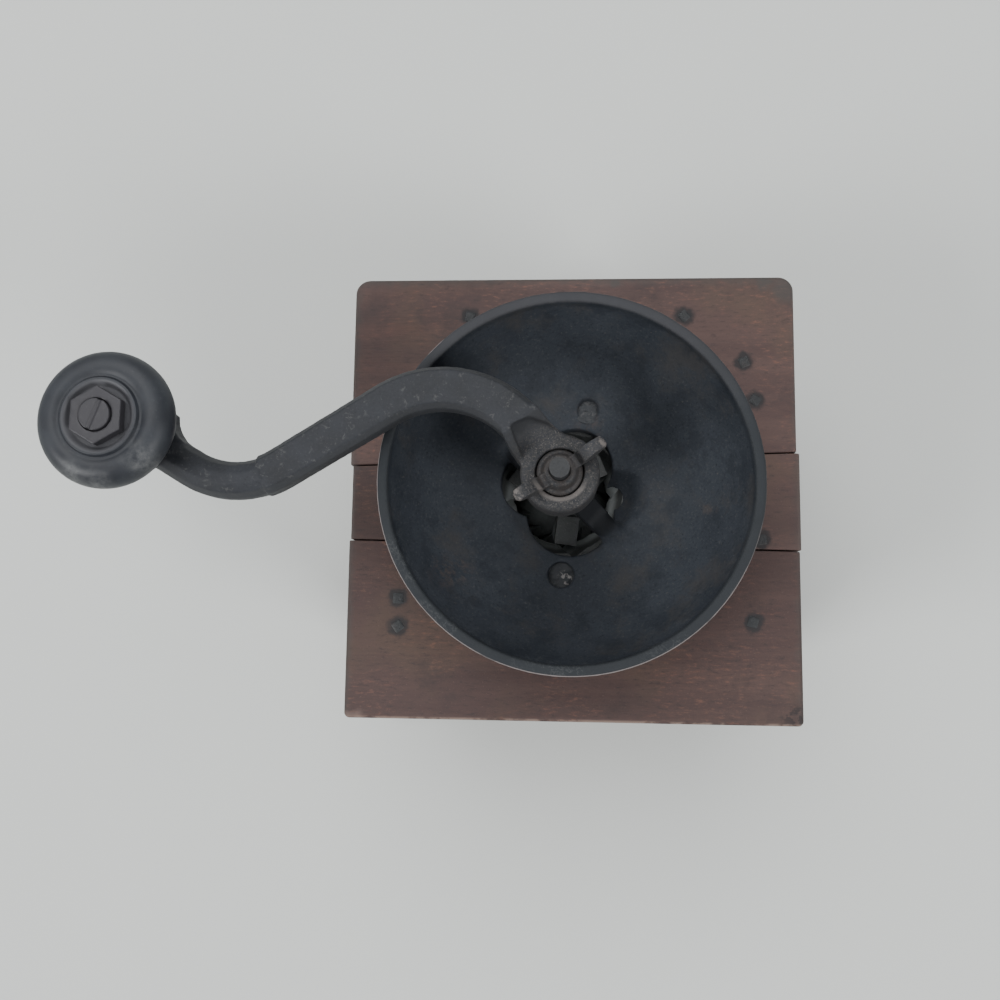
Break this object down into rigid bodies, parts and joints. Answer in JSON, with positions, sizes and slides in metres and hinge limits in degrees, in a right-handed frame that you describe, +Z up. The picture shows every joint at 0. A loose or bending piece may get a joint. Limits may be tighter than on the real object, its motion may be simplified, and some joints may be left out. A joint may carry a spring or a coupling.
{
  "type": "manual coffee grinder",
  "caption": "Wooden box coffee mill with an open cast bowl, an S-shaped hand crank with a turned knob, a toothed cone on a spindle with an adjusting wing nut, and a drawer.",
  "frame": {"origin": "centre of the base board's underside", "axes": "+X to the right seen from the drawer's side, +Y to the back, away from the drawer, +Z up"},
  "size_m": [0.2497, 0.1725, 0.2023],
  "materials": {
    "box_wood": "worn, greyed brown hardwood with open grain, rubbed pale at its edges",
    "drawer_wood": "plain brown wood, less worn than the box",
    "knob_wood": "black stained turned wood, satin, worn thin on its crown",
    "bowl_iron": "dark blue-black casting with faint rust patches and a worn rim",
    "crank_iron": "dull grey casting with a fine grain",
    "mill_iron": "hard grey casting, rubbed bright on its teeth",
    "steel": "dull steel with a brown tarnish",
    "nail_iron": "rusted dark iron"
  },
  "bodies": {
    "box": {"base_board": "box_wood", "wall_left": "box_wood", "wall_right": "box_wood", "wall_back": "box_wood", "front_rail": "box_wood", "top_board_back": "box_wood", "top_board_front": "box_wood", "top_board_middle_left": "box_wood", "top_board_middle_right": "box_wood", "top_nails": "nail_iron", "base_nails": "nail_iron", "hopper": "bowl_iron", "bridge": "bowl_iron", "hopper_bolts": "steel", "hopper_nuts": "steel", "grinding_ring": "mill_iron"},
    "crank": {"crank": "crank_iron", "knob_stud": "steel", "knob_nut": "steel"},
    "knob": {"crank_knob": "knob_wood"},
    "spindle": {"spindle": "steel", "grinding_cone": "mill_iron", "cone_nut": "steel"},
    "wing_nut": {"wing_nut": "crank_iron"},
    "drawer": {"drawer_front": "drawer_wood", "drawer_side_left": "drawer_wood", "drawer_side_right": "drawer_wood", "drawer_back": "drawer_wood", "drawer_bottom": "drawer_wood", "drawer_knob": "drawer_wood", "drawer_knob_screw": "steel", "drawer_nails": "nail_iron"}
  },
  "joints": [
    {"name": "crank_turn", "type": "hinge", "parent": "box", "child": "crank", "pos_m": [-0.004, 0.0005, 0.1543], "axis": [0, 0, 1], "continuous": true},
    {"name": "knob_spin", "type": "hinge", "parent": "crank", "child": "knob", "pos_m": [-0.14245, 0.0123, 0.1787], "axis": [0, 0, 1], "continuous": true},
    {"name": "wing_nut_turn", "type": "hinge", "parent": "crank", "child": "wing_nut", "pos_m": [-0.004, 0.0005, 0.1622], "axis": [0, 0, 1], "range_deg": [-90, 360]},
    {"name": "spindle_lift", "type": "slide", "parent": "crank", "child": "spindle", "axis": [0, 0, 1], "range_m": [-0.00126, 0.00032]},
    {"name": "drawer_slide", "type": "slide", "parent": "box", "child": "drawer", "axis": [0, -1, 0], "range_m": [0, 0.105]}
  ],
  "couplings": [
    {"joint": "wing_nut_turn", "follows": "spindle_lift", "rad_per_m": -4947.4}
  ]
}
